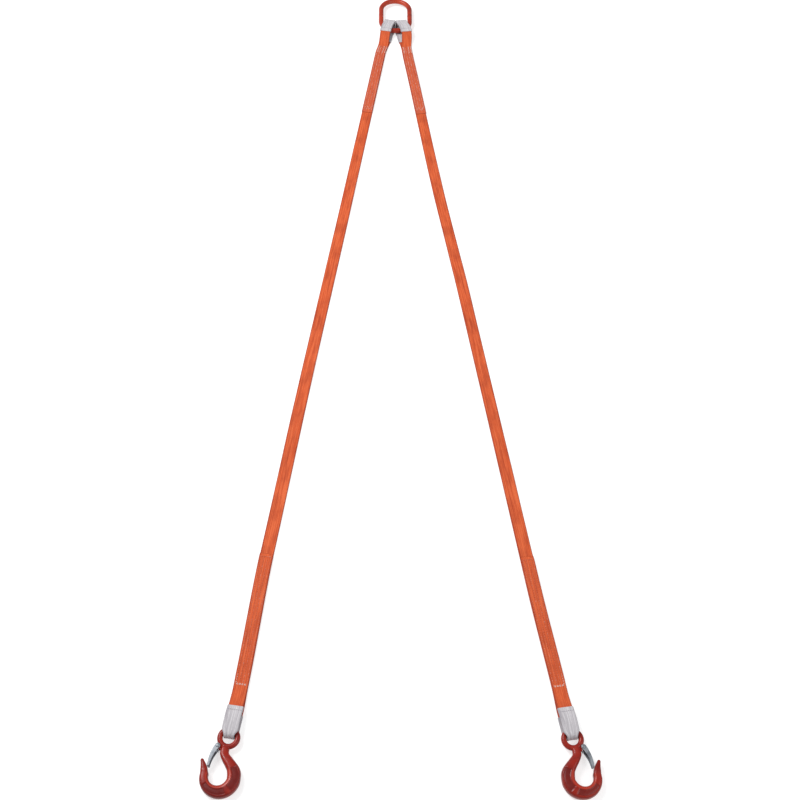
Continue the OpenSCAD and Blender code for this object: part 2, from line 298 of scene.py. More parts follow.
def eye_skew(leg, line, outward, inward, together=0.0):
    """The two plies of an eye lie a little askew; the link eyes lie close together."""
    first, length, release = 4 * MM, 94 * MM, 25 * MM
    away = np.sin(np.pi * np.clip((line[:, 0] - first) / length, 0, 1)) ** 2
    lean = together + (math.sin(LEG_ANGLE) * line[:, 0] if together else 0)
    stop = mix(20 * MM, first, line[:, 2])
    close = lean * (1 - ease((line[:, 0] - stop) / release))
    return leg.side * (away * mix(-inward, outward, line[:, 2]) - close)


def gather(d, wide, narrow):
    """Share of its width that a hook eye's cloth keeps at a distance from its end."""
    return mix(narrow, wide, bight(d)) / wide


def bight(d):
    """0 where a hook eye's cloth is gathered in the hook, 1 where it lies flat."""
    return ease((d - 3.5 * MM) / (10 * MM))


# ---------------------------------------------------------------- materials
class Shader:
    """Small helper that builds a node material around one Principled shader."""

    def __init__(self, name, roughness, **fixed):
        self.material = bpy.data.materials.new(name)
        self.material.use_nodes = True
        self.tree = self.material.node_tree
        self.out = self.tree.nodes["Principled BSDF"]
        self.out.inputs["Roughness"].default_value = roughness
        for key, value in fixed.items():
            self.out.inputs[key.replace("_", " ")].default_value = value

    def node(self, kind, **values):
        made = self.tree.nodes.new(kind)
        for key, value in values.items():
            setattr(made, key, value)
        return made

    def put(self, socket, value):
        if isinstance(value, bpy.types.NodeSocket):
            self.tree.links.new(value, socket)
        else:
            socket.default_value = value

    def math(self, operation, *values, clamp=False):
        made = self.node("ShaderNodeMath", operation=operation, use_clamp=clamp)
        for i, value in enumerate(values):
            self.put(made.inputs[i], value)
        return made.outputs[0]

    def cloth(self):
        """Across and along coordinates of a cloth piece, in metres."""
        uv = self.node("ShaderNodeUVMap", uv_map="cloth")
        parts = self.node("ShaderNodeSeparateXYZ")
        self.put(parts.inputs[0], uv.outputs[0])
        return parts.outputs[0], parts.outputs[1]

    def place(self):
        return self.node("ShaderNodeTexCoord").outputs["Object"]

    def vector(self, x, y, z=0.0):
        made = self.node("ShaderNodeCombineXYZ")
        for i, value in enumerate((x, y, z)):
            self.put(made.inputs[i], value)
        return made.outputs[0]

    def noise(self, where, scale, detail=3.0, rough=0.55, spread=0.0):
        made = self.node("ShaderNodeTexNoise")
        self.put(made.inputs["Vector"], where)
        made.inputs["Scale"].default_value = scale
        made.inputs["Detail"].default_value = detail
        made.inputs["Roughness"].default_value = rough
        made.inputs["Distortion"].default_value = spread
        return made.outputs[0]

    def span(self, value, low, high, to_low=0.0, to_high=1.0):
        made = self.node("ShaderNodeMapRange", clamp=True, interpolation_type="SMOOTHSTEP")
        self.put(made.inputs["Value"], value)
        for key, number in zip(("From Min", "From Max", "To Min", "To Max"),
                               (low, high, to_low, to_high)):
            made.inputs[key].default_value = number
        return made.outputs[0]

    def blend(self, share, a, b):
        made = self.node("ShaderNodeMix", data_type="RGBA", blend_type="MIX")
        self.put(made.inputs[0], share)
        for socket, value in ((made.inputs[6], a), (made.inputs[7], b)):
            self.put(socket, value if isinstance(value, bpy.types.NodeSocket) else (*value, 1.0))
        return made.outputs[2]

    def colour(self, value):
        self.put(self.out.inputs["Base Color"], value)

    def rough(self, value):
        self.put(self.out.inputs["Roughness"], value)

    def bump(self, height, distance, strength):
        made = self.node("ShaderNodeBump")
        made.inputs["Strength"].default_value = strength
        made.inputs["Distance"].default_value = distance
        self.put(made.inputs["Height"], height)
        self.put(self.out.inputs["Normal"], made.outputs[0])


def cloth_material(name, base, dark, pale, faded, pitch, twill, edge, shade, roughness):
    """Ribbed woven cloth: herringbone yarns along each rib, streaks, painted shade in the weave's
    hollows and along the edges.
    """
    s = Shader(name, roughness, Sheen_Weight=0.12, Sheen_Roughness=0.45,
               Specular_IOR_Level=0.25)
    s.out.inputs["Sheen Tint"].default_value = (*pale, 1.0)
    u, v = s.cloth()
    zigzag = s.math("PINGPONG", s.math("ADD", u, 1.0), pitch / 2)
    phase = s.math("ADD", s.math("MULTIPLY", v, 2 * math.pi / twill),
                   s.math("MULTIPLY", zigzag, 2 * math.pi * 0.8 / pitch))
    yarn = s.math("MULTIPLY_ADD", s.math("SINE", phase), 0.5, 0.5)
    groove = s.math("MULTIPLY_ADD", s.math("COSINE", s.math("MULTIPLY", u, 2 * math.pi / pitch)),
                    0.5, 0.5)
    streak = s.noise(s.vector(s.math("MULTIPLY", u, 620.0), s.math("MULTIPLY", v, 9.0)), 1.0, 2.0)
    cloud = s.noise(s.vector(s.math("MULTIPLY", u, 40.0), s.math("MULTIPLY", v, 22.0)), 1.0, 4.0)
    fuzz = s.noise(s.vector(u, v), 3800.0, 2.0, 0.7)
    tone = s.blend(s.span(streak, 0.38, 0.62), base, pale)
    wide = s.noise(s.vector(s.math("MULTIPLY", u, 210.0), s.math("MULTIPLY", v, 16.0)), 1.0, 2.0)
    tone = s.blend(s.math("MULTIPLY", s.span(wide, 0.48, 0.66), 0.40), tone, dark)
    tone = s.blend(s.math("MULTIPLY", s.span(cloud, 0.42, 0.72), 0.42), tone, dark)
    # painted shade: darker in the hollows between yarns and in the rib grooves
    tone = s.blend(s.math("MULTIPLY", s.math("SUBTRACT", 1.0, yarn), 0.30), tone, dark)
    tone = s.blend(s.math("MULTIPLY", s.span(groove, 0.40, 1.0), 0.48), tone, dark)
    # puckered and paler where it is sewn down
    fade = s.node("ShaderNodeAttribute", attribute_name="faded").outputs["Fac"]
    patch = s.noise(s.vector(s.math("MULTIPLY", u, 260.0), s.math("MULTIPLY", v, 55.0)), 1.0, 3.0)
    share = s.math("MULTIPLY", fade, s.span(patch, 0.34, 0.62, 0.10, 0.70))
    tone = s.blend(share, tone, faded)
    # painted shade along both edges of the band
    border = s.span(s.math("ABSOLUTE", u), edge - 2.9 * MM, edge - 0.4 * MM)
    tone = s.blend(s.math("MULTIPLY", border, shade), tone, dark)
    s.colour(tone)
    s.rough(s.math("MULTIPLY_ADD", fuzz, 0.2, roughness - 0.1))
    height = s.math("ADD", s.math("MULTIPLY", yarn, 0.75), s.math("MULTIPLY", fuzz, 0.35))
    s.bump(height, 0.22 * MM, 0.85)
    return s.material


def paint_material(name, base, pale, deep):
    """Red enamel over forged steel: slight orange peel, painted shade in sunk panels and on the
    rim, a darker weld, paler rubbed and highlit edges, small chips.
    """
    s = Shader(name, 0.34, Coat_Weight=0.08, Coat_Roughness=0.14, Specular_IOR_Level=0.24)
    where = s.place()
    peel = s.noise(where, 620.0, 2.0, 0.5)
    scale = s.noise(where, 95.0, 5.0, 0.6)
    cloud = s.noise(where, 24.0, 3.0, 0.5)
    chips = s.noise(where, 210.0, 6.0, 0.72, 0.6)
    hollow = s.node("ShaderNodeAttribute", attribute_name="hollow").outputs["Fac"]
    worn = s.node("ShaderNodeAttribute", attribute_name="worn").outputs["Fac"]
    tone = s.blend(s.span(cloud, 0.35, 0.68), deep, base)
    tone = s.blend(s.math("MULTIPLY", s.span(scale, 0.55, 0.80), 0.30), tone, pale)
    # painted shade: darker red in the hook's sunk panels and along its outer rim; darker over the
    # link's weld bead
    tone = s.blend(s.math("MULTIPLY", hollow, 0.72), tone, RED_SHADE_AND_WELD_TONE)
    # paler paint: rubbed wear inside the link's ends, painted highlight along the hook's bearing
    # edges
    tone = s.blend(s.math("MULTIPLY", worn, 0.75), tone, pale)
    chip = s.math("MULTIPLY", s.span(chips, 0.715, 0.735), s.span(worn, 0.2, 0.8))
    tone = s.blend(s.math("MULTIPLY", chip, 0.8), tone, (0.16, 0.12, 0.11))
    s.colour(tone)
    s.rough(s.span(scale, 0.3, 0.75, 0.27, 0.46))
    height = s.math("ADD", s.math("MULTIPLY", peel, 0.35), s.math("MULTIPLY", scale, 1.3))
    height = s.math("SUBTRACT", height, s.math("MULTIPLY", chip, 0.5))
    s.bump(height, 0.18 * MM, 0.7)
    return s.material


def metal_material(name, base, dark, roughness, grain):
    """Plated pressed steel: fine drawn lines, clouded plating, dull spots."""
    s = Shader(name, roughness, Metallic=1.0)
    where = s.place()
    stretch = s.node("ShaderNodeMapping")
    s.put(stretch.inputs["Vector"], where)
    stretch.inputs["Scale"].default_value = (grain, 60.0, grain)
    lines = s.noise(stretch.outputs[0], 1.0, 2.0, 0.6)
    cloud = s.noise(where, 70.0, 3.0, 0.5)
    spots = s.noise(where, 900.0, 3.0, 0.6)
    tone = s.blend(s.span(cloud, 0.25, 0.60), dark, base)
    tone = s.blend(s.math("MULTIPLY", s.span(spots, 0.64, 0.80), 0.35), tone, dark)
    s.colour(tone)
    s.rough(s.math("ADD", s.span(cloud, 0.3, 0.75, roughness - 0.04, roughness + 0.06),
                   s.math("MULTIPLY", lines, 0.08)))
    s.bump(s.math("ADD", lines, s.math("MULTIPLY", spots, 0.3)), 0.02 * MM, 0.5)
    return s.material


def thread_material(name, base, shade):
    """Twisted sewing thread, a little soiled, with painted shade in the hollows of the twist."""
    s = Shader(name, 0.6, Sheen_Weight=0.25, Sheen_Roughness=0.4, Specular_IOR_Level=0.3)
    u, v = s.cloth()
    twist = s.math("SINE", s.math("ADD", s.math("MULTIPLY", v, 2 * math.pi / (0.9 * MM)),
                                  s.math("MULTIPLY", u, 2 * math.pi)))
    soil = s.noise(s.vector(s.math("MULTIPLY", u, 3.0), s.math("MULTIPLY", v, 60.0)), 1.0, 3.0)
    deep = s.node("ShaderNodeAttribute", attribute_name="sunk").outputs["Fac"]
    # the shade colour serves for soil, for stitches sunk in the weave and for the painted twist
    # shade
    share = s.math("ADD", s.span(soil, 0.35, 0.7, 0.0, 0.35), deep, clamp=True)
    tone = s.blend(share, base, shade)
    # painted shade: darker in the hollows of the twist
    s.colour(s.blend(s.math("MULTIPLY_ADD", twist, -0.12, 0.12), tone, shade))
    s.rough(s.span(soil, 0.3, 0.7, 0.5, 0.75))
    s.bump(twist, 0.08 * MM, 0.6)
    return s.material


# dark red for the painted shade in the hook's panels and rim, and for the weld bead
RED_SHADE_AND_WELD_TONE = (0.088, 0.005, 0.004)
# the number before each roughness sets how dark the painted shade along the cloth's edges is
WEBBING = cloth_material("orange_webbing", (0.62, 0.090, 0.020), (0.275, 0.028, 0.008),
                         (0.83, 0.172, 0.054), (0.475, 0.093, 0.049), 1.87 * MM, 2.2 * MM,
                         WEB_W / 2, 0.80, 0.72)
SLEEVE = cloth_material("sleeve_cloth", (0.56, 0.535, 0.550), (0.22, 0.200, 0.225),
                        (0.72, 0.700, 0.715), (0.6, 0.6, 0.6), 1.9 * MM, 1.6 * MM,
                        SLEEVE_W / 2, 0.50, 0.85)
PAINT = paint_material("red_paint", (0.270, 0.013, 0.005), (0.50, 0.052, 0.026),
                       (0.170, 0.007, 0.004))
# the link's red: a more orange copy of the hooks' red, painted lighter for the light on its round
# bars
LIT_LINK_PAINT = paint_material("red_link_paint", (0.39, 0.035, 0.011), (0.56, 0.080, 0.034),
                            (0.25, 0.018, 0.008))
ZINC = metal_material("zinc_plate", (0.30, 0.32, 0.345), (0.17, 0.185, 0.205), 0.50, 1500.0)
SPRING = metal_material("spring_steel", (0.52, 0.53, 0.55), (0.30, 0.31, 0.33), 0.30, 2500.0)
THREAD = thread_material("sewing_thread", (0.80, 0.69, 0.62), (0.56, 0.110, 0.045))
HEM_THREAD = thread_material("hem_thread", (0.40, 0.37, 0.41), (0.26, 0.24, 0.27))

WEB_OUTLINE = section(WEB_W, WEB_T, 12, 0.16 * MM)
# How far the plies of an eye lie askew: upper ply outward, lower ply inward, eye inward
SKEW = {"left": (3.4 * MM, 1.2 * MM, 1.1 * MM), "right": (5.4 * MM, 4.2 * MM, 1.1 * MM)}
HOOK_SKEW = (0.2 * MM, 1.0 * MM)


# ---------------------------------------------------------------- webbing pieces
def run_roll(leg, v):
    """Slight roll of the run from side to side as it lies, none near the splices."""
    clear, fade, wave_long, wave_short = 0.36, 0.2, 0.43, 0.26
    window = ease((v - clear) / fade) * ease((LEG_LENGTH - clear - v) / fade)
    wave = np.sin(2 * np.pi * v / wave_long + leg.side) + 0.6 * np.sin(2 * np.pi * v / wave_short)
    return math.radians(1.6) * window * wave


def end_webbing(leg, eye, low, skew, splice, flex, zone, nodes, narrow):
    """The webbing of one end: folded-back tail, eye and the first of the run."""
    tail = flex + splice
    line, along = eye_line(**eye, top_end=tail, low_end=tail - OVERLAP)
    shift = eye_skew(leg, line, *skew)
    # the tail lies a little off the run that it is sewn to
    tailward = line[:, 2] * ease((line[:, 0] - flex) / (30 * MM))
    shift = shift + 0.35 * MM * leg.side * tailward
    width = gather(line[:, 0], WEB_W, narrow) if narrow else None
    # the heat-sealed end of the tail is pressed thin
    press = 1.15 * MM * ease((line[:, 0] - tail + 9 * MM) / (9 * MM)) * (line[:, 2] > 0.5)
    line[:, 1] -= press
    curl = None
    if narrow:
        curl = 1.0 * MM * (1 - bight(line[:, 0])) * line[:, 2]
    rings = sweep_band(leg, line, WEB_OUTLINE, low, shift, width, curl, -press)
    name = leg.name + ("_lower" if low else "_upper") + "_eye_webbing"
    obj = band_object(name, rings, WEB_OUTLINE, along, WEBBING)
    sewn = (0.12 if low else 1.0) * line[:, 2] * ease((line[:, 0] - flex) / (8 * MM))
    set_values(obj, "faded", np.repeat(sewn, len(WEB_OUTLINE)))
    leg.point(0, zone[0], 0)
    leg.point(0, zone[1], 0)
    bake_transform(obj)
    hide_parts(*nodes)


def run_webbing(leg):
    """The long single run between the two splices."""
    start = UPPER_FLEX + UPPER_SPLICE - OVERLAP
    stop = LEG_LENGTH - LOWER_FLEX - LOWER_SPLICE + OVERLAP
    d = np.linspace(start, stop, 301)
    line = np.c_[d, np.full_like(d, WEB_T / 2), np.zeros_like(d)]
    rings = sweep_band(leg, line, WEB_OUTLINE, False, roll=run_roll(leg, d))
    obj = band_object(leg.name + "_run_webbing", rings, WEB_OUTLINE, d, WEBBING)
    leg.point(0, FOLD, 0)
    leg.point(0, FOLD + FOLD_REACH, 0)
    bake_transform(obj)
    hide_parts(leg.name + "_upper_leg_web", leg.name + "_lower_leg_web")
    middle = leg.point(np.zeros(len(d)), d, line[:, 1])


def make_webbing(leg):
    n = leg.name
    end_webbing(leg, UPPER_EYE, False, SKEW[n], UPPER_SPLICE, UPPER_FLEX,
                UPPER_ZONE,
                (n + "_upper_eye_web", n + "_upper_splice_tail"), None)
    run_webbing(leg)
    end_webbing(leg, LOWER_EYE, True, HOOK_SKEW, LOWER_SPLICE, LOWER_FLEX,
                LOWER_ZONE,
                (n + "_lower_eye_web", n + "_lower_splice_tail"), WEB_NARROW)


# ---------------------------------------------------------------- sleeves
def make_sleeve(leg, low, eye, front, back, skew, narrow):
    """Woven sleeve round both plies of an eye, open and hemmed at its two ends."""
    line, along = eye_line(**eye, top_end=front, low_end=back, step=1.2 * MM)
    shift = eye_skew(leg, line, *skew)
    outer = section(SLEEVE_W, 2 * SKIN, 14, 0.14 * MM, edge=1.7 * MM)
    inner = section(WEB_W + 0.5 * MM, WEB_T + 2 * SLEEVE_GAP, 14, 0.0, edge=1.3 * MM)
    wide = gather(line[:, 0], SLEEVE_W, narrow) if narrow else np.ones(len(line))
    tuck = gather(line[:, 0], WEB_W, narrow - 2 * MM) if narrow else np.ones(len(line))
    curl = np.zeros(len(line))
    if narrow:
        curl = 1.5 * MM * (1 - bight(line[:, 0])) * line[:, 2]
    gap = np.minimum(along, along[-1] - along)
    hem = 0.14 * MM * (1 - ease((gap - 6.5 * MM) / (1.2 * MM)))
    hem -= 0.22 * MM * band(gap, 7.4 * MM, 8.4 * MM, 0.8 * MM)
    hem -= 0.25 * MM * (1 - ease(gap / (1.6 * MM)))
    outside = sweep_band(leg, line, outer, low, shift, wide, curl, hem)
    inside = sweep_band(leg, line, inner, low, shift, tuck, curl)
    n, around = len(line), len(outer)
    points = np.concatenate(outside + inside)
    faces = ring_faces(n, around) + ring_faces(n, around, n * around)
    for r in (0, n - 1):
        for k in range(around):
            a, b = r * around + k, r * around + (k + 1) % around
            faces.append((a, b, b + n * around, a + n * around))
    uv = np.array([(x, s) for o in (outer, inner) for s in along for x in o[:, 0]])
    name = leg.name + ("_lower" if low else "_upper") + "_eye_sleeve_cloth"
    obj = mesh_object(name, points, faces, uv, SLEEVE, sharp=50)
    body = leg.name + ("_lower_eye" if low else "_upper_eye")
    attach(obj, body)
    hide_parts(body + "_sleeve")
    # hem stitches across the upper ply, a little in from the open end
    i = int(np.argmin(np.abs(along - 8 * MM)))
    tangent = line[i + 1, :2] - line[i - 1, :2]
    tangent /= np.linalg.norm(tangent)
    away = np.array((tangent[1], -tangent[0])) * (SKIN - 0.12 * MM)
    d, z = line[i, 0] + away[0], line[i, 1] + away[1]
    v = LEG_LENGTH - d if low else d
    reach = SLEEVE_W / 2 - 1.2 * MM
    row = [(shift[i] - reach, v, z), (shift[i] + reach, v, z)]
    thread = stitches(leg, name.replace("sleeve_cloth", "sleeve_hem"), [(row, 0.2)],
                      HEM_THREAD, 2.4 * MM, 3.6 * MM, 0.42 * MM)
    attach(thread, body)


# ---------------------------------------------------------------- sewing
def stitches(leg, name, rows, material, length, pitch, radius):
    """Single stitches along rows in the leg's frame; the ends dip into the cloth.

    Each row is its points and how deep its thread sits in the weave, from 0 to 1."""
    share = np.array((0, 0.12, 0.3, 0.5, 0.7, 0.88, 1.0))
    thick = np.array((0.35, 0.8, 1.0, 1.0, 1.0, 0.8, 0.35)) * radius
    lift = np.array((-1.2, 0.0, 0.45, 0.6, 0.45, 0.0, -1.2)) * radius
    sides = 8
    turn = 2 * np.pi * np.arange(sides) / sides
    points, faces, uv, sunk = [], [], [], []
    for row, deep in rows:
        row, gone = resample(row, 1.0 * MM)
        count = max(1, int((gone[-1] + pitch - length) / pitch))
        first = (gone[-1] - (count - 1) * pitch - length) / 2
        for k in range(count):
            at = first + k * pitch + length * share
            centre = np.stack([np.interp(at, gone, row[:, c]) for c in range(3)], 1)
            centre = leg.point(centre[:, 0], centre[:, 1], centre[:, 2] + lift)
            ahead = centre[-1] - centre[0]
            ahead = ahead * (1, 1, 0) / np.linalg.norm(ahead * (1, 1, 0))
            left = np.array((-ahead[1], ahead[0], 0))
            lean = random.uniform(-0.12, 0.12) * MM
            base = len(points)
            sunk += [min(1.0, max(0.0, deep + random.uniform(-0.22, 0.22)))] * (7 * sides)
            for c, r, s in zip(centre, thick, share):
                for t in turn:
                    points.append(c + left * (1.35 * r * math.cos(t) + lean * (2 * s - 1))
                                  + np.array((0, 0, r * math.sin(t))))
                    uv.append((t / (2 * np.pi), k * pitch + s * length + 0.37 * base * MM))
            faces += tube_faces(len(share), sides, base)
    obj = mesh_object(name, points, faces, uv, material, sharp=60)
    set_values(obj, "sunk", sunk)
    return obj


def splice_rows(side, start, stop, closing):
    """Four long rows and their closing, in the leg's frame."""
    z = 2 * WEB_T + 0.05 * MM
    xs = [r * 6 * MM for r in (-1.5, -0.5, 0.5, 1.5)]
    if closing == "zigzag":
        near = stop - 13 * MM
        rows = [([(x, start, z), (x, stop, z)], 0.66) for x in xs]
        rows += [([(xs[0], stop, z), (xs[1] - 0.6 * MM, near, z)], 0.45),
                 ([(xs[1] + 0.6 * MM, near, z), (xs[2] - 0.3 * MM, stop, z)], 0.45),
                 ([(xs[2] + 0.6 * MM, stop, z), (xs[3] - 0.8 * MM, near, z)], 0.45)]
        # bright doubled stitching just behind the eye
        rows += [([(x + 1.5 * MM, start, z), (x + 1.5 * MM, start + 26 * MM, z)], 0.0)
                 for x in (xs[0], xs[2], xs[3])]
    else:
        outer = xs[3] if side > 0 else xs[0]
        rows = [([(x, start, z), (x, stop, z)], 0.93) for x in xs]
        rows += [([(xs[0], stop, z), (xs[3], stop, z)], 0.0),
                 ([(xs[0], stop - 1.6 * MM, z), (xs[3], stop - 1.6 * MM, z)], 0.1),
                 ([(outer, stop - 20 * MM, z), (outer, stop, z)], 0.1),
                 ([(xs[0], start, z), (xs[3], start, z)], 0.8)]
    return rows


def make_stitching(leg):
    n = leg.name
    start = UPPER_FLEX + 4 * MM
    stop = UPPER_FLEX + UPPER_SPLICE - 7 * MM
    rows = splice_rows(leg.side, start, stop, "zigzag")
    obj = stitches(leg, n + "_upper_splice_thread", rows, THREAD, 4.2 * MM, 5.0 * MM, 0.46 * MM)
    leg.point(0, UPPER_ZONE[0], 0)
    leg.point(0, UPPER_ZONE[1], 0)
    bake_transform(obj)
    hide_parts(n + "_upper_splice_stitching")
    stop = LEG_LENGTH - LOWER_FLEX - 8 * MM
    start = LEG_LENGTH - LOWER_FLEX - LOWER_SPLICE + 7 * MM
    rows = splice_rows(leg.side, start, stop, "box")
    obj = stitches(leg, n + "_lower_splice_thread", rows, THREAD, 3.6 * MM, 4.5 * MM, 0.42 * MM)
    leg.point(0, LOWER_ZONE[0], 0)
    leg.point(0, LOWER_ZONE[1], 0)
    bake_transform(obj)
    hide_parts(n + "_lower_splice_stitching")


for each in LEGS:
    make_webbing(each)
    make_sleeve(each, False, UPPER_EYE, *UPPER_SLEEVE, SKEW[each.name], None)
    make_sleeve(each, True, LOWER_EYE, *LOWER_SLEEVE, HOOK_SKEW, SLEEVE_NARROW)
    make_stitching(each)


# ---------------------------------------------------------------- master link
def make_link():
    """Round bar along the oblong, with its weld and paler, rubbed paint inside its ends."""
    centre = np.array(JOINTS["left_spread"]["pos_m"], float)
    quarter = np.radians(np.linspace(0, 180, 73))
    far = np.c_[LINK_R * np.cos(quarter), LINK_STRAIGHT + LINK_R * np.sin(quarter)]
    near = np.c_[-LINK_R * np.cos(quarter), -LINK_R * np.sin(quarter)]
    path = resample(np.r_[far, near, far[:1]], 1.6 * MM)[0][:-1]
    ahead = np.roll(path, -1, 0) - np.roll(path, 1, 0)
    ahead /= np.linalg.norm(ahead, axis=1)[:, None]
    side = np.c_[ahead[:, 1], -ahead[:, 0]]
    # the closing weld: a bead with a shallow toe to each side
    weld_at = np.array((LINK_R, LINK_STRAIGHT * 0.45))
    off = np.linalg.norm(path - weld_at, axis=1)
    bead = 0.30 * MM * np.exp(-(off / (2.2 * MM)) ** 2)
    bead += 0.16 * MM * np.exp(-((off - 4.4 * MM) / (1.2 * MM)) ** 2)
    around = 40
    turn = 2 * np.pi * np.arange(around) / around
    points, worn, hollow = [], [], []
    for i, (p, s) in enumerate(zip(path, side)):
        for t in turn:
            wave = 0.05 * MM * math.sin(3 * t + i * 0.11) * math.sin(i * 0.047)
            r = LINK_BAR / 2 + bead[i] + wave
            x, y = p + s * r * math.cos(t)
            points.append(centre + (x, y, r * math.sin(t)))
            inward = max(0.0, -math.cos(t))
            ends = ease((abs(p[1] - LINK_STRAIGHT / 2) - LINK_STRAIGHT / 2) / (0.6 * LINK_R))
            worn.append(0.55 * float(ends) * inward)
            # the weld bead is painted darker
            hollow.append(min(1.0, 2.5 * bead[i] / MM))
    obj = mesh_object("master_link_bar", points, ring_faces(len(path), around, closed=True),
                      None, LIT_LINK_PAINT)
    set_values(obj, "worn", worn)
    set_values(obj, "hollow", hollow)
    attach(obj, "link")
    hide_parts("master_link")


make_link()

# ---------------------------------------------------------------- hooks, in millimetres
NECK = [(-5.5, -12.5, 5.5, -12.5, 0.38), (-6.6, -18, 6.6, -18, 0.60),
        (-6.5, -27, 8.4, -25, 0.70), (-3.6, -33, 16, -31, 0.82),
        (1.6, -39.6, 24.5, -37.2, 0.92), (8.4, -47, 32, -43.8, 0.98),
        (13.6, -54, 36.8, -52.5, 1)]
POINT = [(-16.3, -59.8, -29, -60.5, 0.88), (-18.6, -55.2, -30, -56, 0.76),
         (-21.4, -51.2, -31.2, -52, 0.64), (-24.1, -48, -32.5, -48.4, 0.55),
         (-26.7, -45.3, -33.6, -45.6, 0.45), (-28.5, -43.2, -33.3, -43.4, 0.34),
         (-30, -42.2, -32.2, -42.3, 0.2)]
BOWL_IN = (1.4, -64.4, 15.3)
BOWL_OUT = (5.7, -65.7, 33.4)
PIVOT = np.array((-12.8, -17.6))
LATCH_TIP = np.array((-18.2, -52.6))
LATCH_GAP = 5.7
LATCH_WALL = 1.4
LATCH_HALF = (4.3, 1.7)
LATCH_BULGE = 2.6
PANEL_DEPTH = 0.95
BACK_PANEL = (-34, 40)
BOTTOM_PANEL = (-134, -50)
RIVET_R = 2.0
HEAD_R = 3.2
WIRE_R = 0.35
COIL_R = 3.1
COIL_STEPS = 32


def smooth_curve(rows, steps):
    """Rows joined by a smooth curve through all of them."""
    rows = np.array(rows, float)
    out = []
    for i in range(len(rows) - 1):
        a, b = rows[max(i - 1, 0)], rows[i]
        c, d = rows[i + 1], rows[min(i + 2, len(rows) - 1)]
        for t in np.arange(steps) / steps:
            out.append(0.5 * (2 * b + (c - a) * t + (2 * a - 5 * b + 4 * c - d) * t * t
                              + (3 * b - a - 3 * c + d) * t ** 3))
    return np.array(out + [rows[-1]])


def hook_stations():
    """Inner and outer points of the hook's body and its share of full thickness."""
    bowl = []
    for degree in range(0, -181, -15):
        c, s = math.cos(math.radians(degree)), math.sin(math.radians(degree))
        bowl.append((BOWL_IN[0] + BOWL_IN[2] * c, BOWL_IN[1] + BOWL_IN[2] * s,
                     BOWL_OUT[0] + BOWL_OUT[2] * c, BOWL_OUT[1] + BOWL_OUT[2] * s,
                     1 + 0.06 * (c - 1)))
    return smooth_curve(NECK + bowl + POINT, 5)


def lathe(profile, around=48):
    """Closed ring of a profile (radius, height) turned about Z: points and faces."""
    turn = 2 * np.pi * np.arange(around) / around
    points = [(r * math.cos(t), r * math.sin(t), z) for t in turn for r, z in profile]
    return points, ring_faces(around, len(profile), closed=True)


def gather_parts(parts):
    """Joins lists of points and faces into one."""
    points, faces = [], []
    for more, quads in parts:
        base = len(points)
        points += [tuple(p) for p in more]
        faces += [tuple(i + base for i in f) for f in quads]
    return points, faces


def fused(points, faces, voxel, passes):
    """One skin round overlapping solids, with small fillets where they meet."""
    mesh = bpy.data.meshes.new("work")
    mesh.from_pydata(points, [], faces)
    work = bmesh.new()
    work.from_mesh(mesh)
    bmesh.ops.recalc_face_normals(work, faces=work.faces)
    work.to_mesh(mesh)
    work.free()
    obj = bpy.data.objects.new("work", mesh)
    bpy.context.scene.collection.objects.link(obj)
    remesh = obj.modifiers.new("skin", "REMESH")
    remesh.mode = "VOXEL"
    remesh.voxel_size = voxel
    soften = obj.modifiers.new("soften", "SMOOTH")
    soften.factor = 0.5
    soften.iterations = passes
    view = bpy.context.evaluated_depsgraph_get()
    final = bpy.data.meshes.new_from_object(obj.evaluated_get(view))
    bpy.data.objects.remove(obj)
    co = np.empty(len(final.vertices) * 3)
    final.vertices.foreach_get("co", co)
    quads = [tuple(p.vertices) for p in final.polygons]
    return co.reshape(-1, 3), quads


